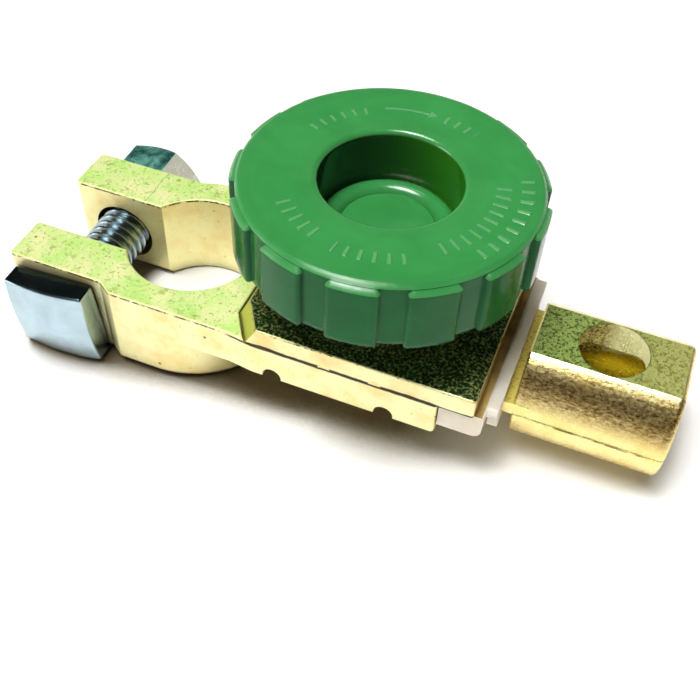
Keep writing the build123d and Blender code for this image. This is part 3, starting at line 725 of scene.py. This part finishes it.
def backdrop_share(world, height):
    """1 where the white backdrop shows: for the camera everywhere, in reflections only when low."""
    nodes, links = world.node_tree.nodes, world.node_tree.links
    low = nodes.new("ShaderNodeMapRange")
    links.new(height, low.inputs["Value"])
    low.inputs["From Min"].default_value, low.inputs["From Max"].default_value = BACKDROP_RISE
    low.inputs["To Min"].default_value, low.inputs["To Max"].default_value = 1.0, 0.0
    rays = nodes.new("ShaderNodeLightPath").outputs
    mirrored = world_math(world, "MAXIMUM", rays["Is Glossy Ray"], rays["Is Transmission Ray"])
    mirrored = world_math(world, "MULTIPLY", mirrored, low.outputs["Result"])
    return world_math(world, "MAXIMUM", rays["Is Camera Ray"], mirrored)


def make_light():
    """The studio as a world, and a small key lamp in its softbox."""
    world = bpy.data.worlds.new("studio")
    bpy.context.scene.world = world
    world.use_nodes = True
    nodes, links = world.node_tree.nodes, world.node_tree.links
    way = nodes.new("ShaderNodeTexCoord").outputs["Generated"]
    split = nodes.new("ShaderNodeSeparateXYZ")
    links.new(way, split.inputs[0])
    height = split.outputs[2]
    total = add_ramp(world.node_tree, height, WALL_STOPS)
    total = add_lamp_glow(world, way, total, SOFTBOX_WAY, SOFTBOX_STOPS)
    total = add_lamp_glow(world, way, total, STRIP_WAY, STRIP_STOPS)
    studio = nodes["Background"]
    links.new(total, studio.inputs["Color"])
    studio.inputs["Strength"].default_value = STUDIO_STRENGTH
    white = nodes.new("ShaderNodeBackground")
    white.inputs["Color"].default_value = (1, 1, 1, 1)
    white.inputs["Strength"].default_value = BACKDROP_WHITE
    choose = nodes.new("ShaderNodeMixShader")
    links.new(backdrop_share(world, height), choose.inputs[0])
    links.new(studio.outputs[0], choose.inputs[1])
    links.new(white.outputs[0], choose.inputs[2])
    links.new(choose.outputs[0], nodes["World Output"].inputs["Surface"])
    sun("key", KEY_WAY, KEY_STRENGTH, KEY_ANGLE_DEG)
    bpy.context.scene.view_settings.view_transform = "Standard"


def thread_grid(bm, place, way, radius, pitch, depth, start, end):
    """Adds a right-hand thread round an axis from start to end, closed at both ends."""
    side = way.orthogonal().normalized()
    across = way.cross(side)
    rows = int((end - start) / pitch * THREAD_STEPS)
    rings = []
    for row in range(rows + 1):
        along = start + (end - start) * row / rows
        fade = min(1.0, (end - along) / pitch)
        ring = []
        for segment in range(THREAD_SEGMENTS):
            turn = segment / THREAD_SEGMENTS
            phase = (along / pitch - turn) % 1.0
            valley = min(1.0, max(0.0, THREAD_VALLEY - abs(phase - 0.5) * THREAD_FLANK))
            reach = radius - depth * max(valley, 1.0 - fade)
            angle = 2 * math.pi * turn
            out = math.cos(angle) * side + math.sin(angle) * across
            ring.append(bm.verts.new(place + along * way + reach * out))
        rings.append(ring)
    for low, high in zip(rings, rings[1:]):
        for k in range(THREAD_SEGMENTS):
            after = (k + 1) % THREAD_SEGMENTS
            bm.faces.new((low[k], low[after], high[after], high[k])).smooth = True
    bm.faces.new(list(reversed(rings[0])))
    bm.faces.new(rings[-1])


def threaded_copy(node, body, place, way, radius, pitch, depth, start, end):
    """Copies a CAD node, takes its plain shank away and puts a real thread there."""
    source = bpy.data.objects[node]
    bm = bmesh.new()
    bm.from_mesh(source.data)

    def off_axis(vert):
        rel = vert.co - place
        return (rel - rel.dot(way) * way).length

    def on_shank(vert):
        along = (vert.co - place).dot(way)
        return off_axis(vert) < radius * SHANK_MARGIN and start - SHANK_SLACK < along < end + SHANK_SLACK

    shank = [face for face in bm.faces if all(on_shank(v) for v in face.verts)]
    bmesh.ops.delete(bm, geom=shank, context="FACES")
    # the middle of a domed head has a stray normal, so the facets round it become one
    bmesh.ops.dissolve_degenerate(bm, dist=AXIS_REACH, edges=bm.edges)
    bmesh.ops.dissolve_verts(bm, verts=[vert for vert in bm.verts if off_axis(vert) < AXIS_REACH])
    thread_grid(bm, place, way, radius, pitch, depth, start, end)
    mesh = bpy.data.meshes.new(node + "_threaded")
    bm.to_mesh(mesh)
    bm.free()
    obj = bpy.data.objects.new(node + "_threaded", mesh)
    bpy.context.scene.collection.objects.link(obj)
    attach(obj, body)
    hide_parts(node)
    return obj


make_camera()
make_stage()
make_light()

casting = clamp_plating()
plate = plate_plating()
barrel = barrel_plating()
bright_zinc = zinc_plating("bright_zinc", BOLT_ZINC, 0.16)
dark_zinc = zinc_plating("dark_zinc", STUD_ZINC, 0.14)
nut_zinc = nut_plating()
white_nylon = nylon()
green = knob_plastic()

for node in ("clamp_casting", "plate_rivets"):
    give(node, casting)
for node in ("top_plate", "stud_bush"):
    give(node, plate)
give("barrel_casting", barrel)
give("clamp_nut", nut_zinc)
for node in ("insulator_sleeve", "insulator_end_plate"):
    give(node, white_nylon)
for node in ("knob_body", "knob_cap"):
    give(node, green)

bolt = threaded_copy(
    "clamp_bolt", "bolt",
    BOLT_PLACE, BOLT_WAY, BOLT_RADIUS, BOLT_PITCH, BOLT_THREAD_DEPTH, -BOLT_SEAT, BOLT_END,
)
give(bolt.name, bright_zinc)
stud = threaded_copy(
    "knob_stud", "stud",
    STUD_PLACE, Vector((0, 0, 1)), STUD_RADIUS, STUD_PITCH, STUD_THREAD_DEPTH, STUD_TIP, STUD_SEAT,
)
give(stud.name, dark_zinc)
